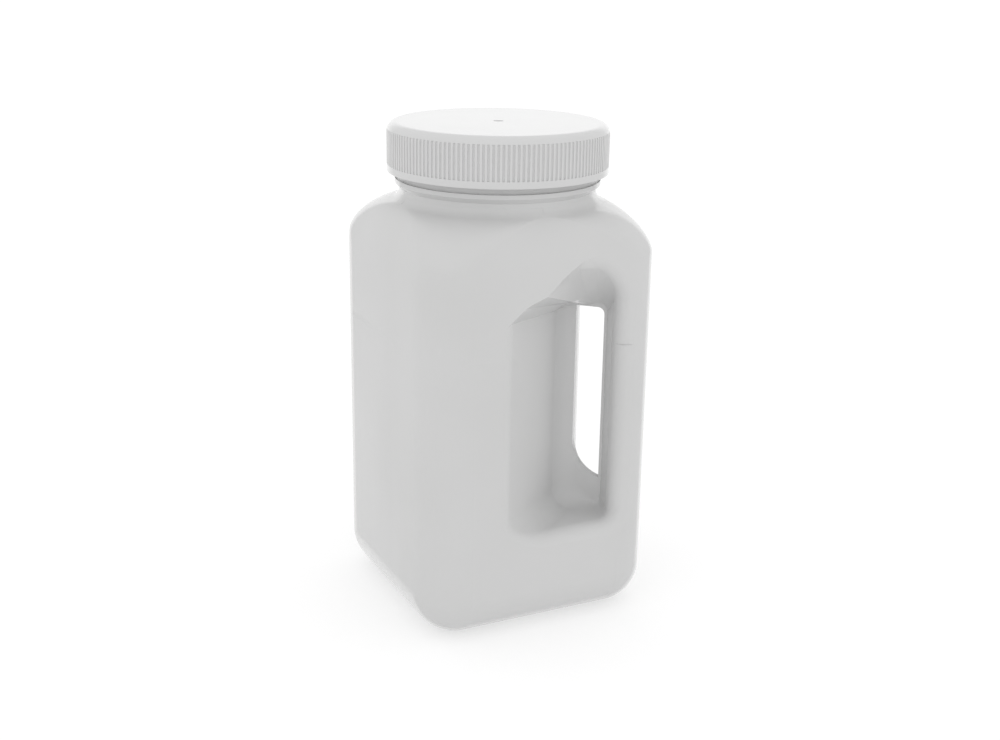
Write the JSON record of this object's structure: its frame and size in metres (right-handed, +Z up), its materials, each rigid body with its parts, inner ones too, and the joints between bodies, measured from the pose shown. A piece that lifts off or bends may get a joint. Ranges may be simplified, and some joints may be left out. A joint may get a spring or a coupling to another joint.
{
  "type": "urine bottle",
  "caption": "Square wide-mouth urine collection bottle with a hand grip moulded into one corner, standing upright under a ribbed screw cap with a sealing liner.",
  "frame": {"origin": "on the floor under the axis of the neck, which is the middle of the bottle's standing base", "axes": "+Z up along the neck's axis, +X towards the corner that holds the hand grip, +Y across the grip, so the flat sides face between the axes"},
  "size_m": [0.165, 0.165, 0.2566],
  "materials": {
    "bottle_plastic": "natural milky polyethylene with a soft satin sheen",
    "cap_plastic": "opaque white polypropylene, satin",
    "liner_foam": "white polyethylene foam"
  },
  "bodies": {
    "bottle": {"bottle": "bottle_plastic"},
    "liner": {"cap_liner": "liner_foam"},
    "cap": {"screw_cap": "cap_plastic"}
  },
  "joints": [
    {"name": "cap_lift", "type": "slide", "parent": "bottle", "child": "liner", "axis": [0, 0, 1], "range_m": [0, 0.0254]},
    {"name": "cap_turn", "type": "hinge", "parent": "liner", "child": "cap", "pos_m": [0, 0, 0.245], "axis": [0, 0, 1], "range_deg": [0, 1800]}
  ],
  "couplings": [
    {"joint": "cap_lift", "follows": "cap_turn", "m_per_rad": 0.00080851}
  ]
}
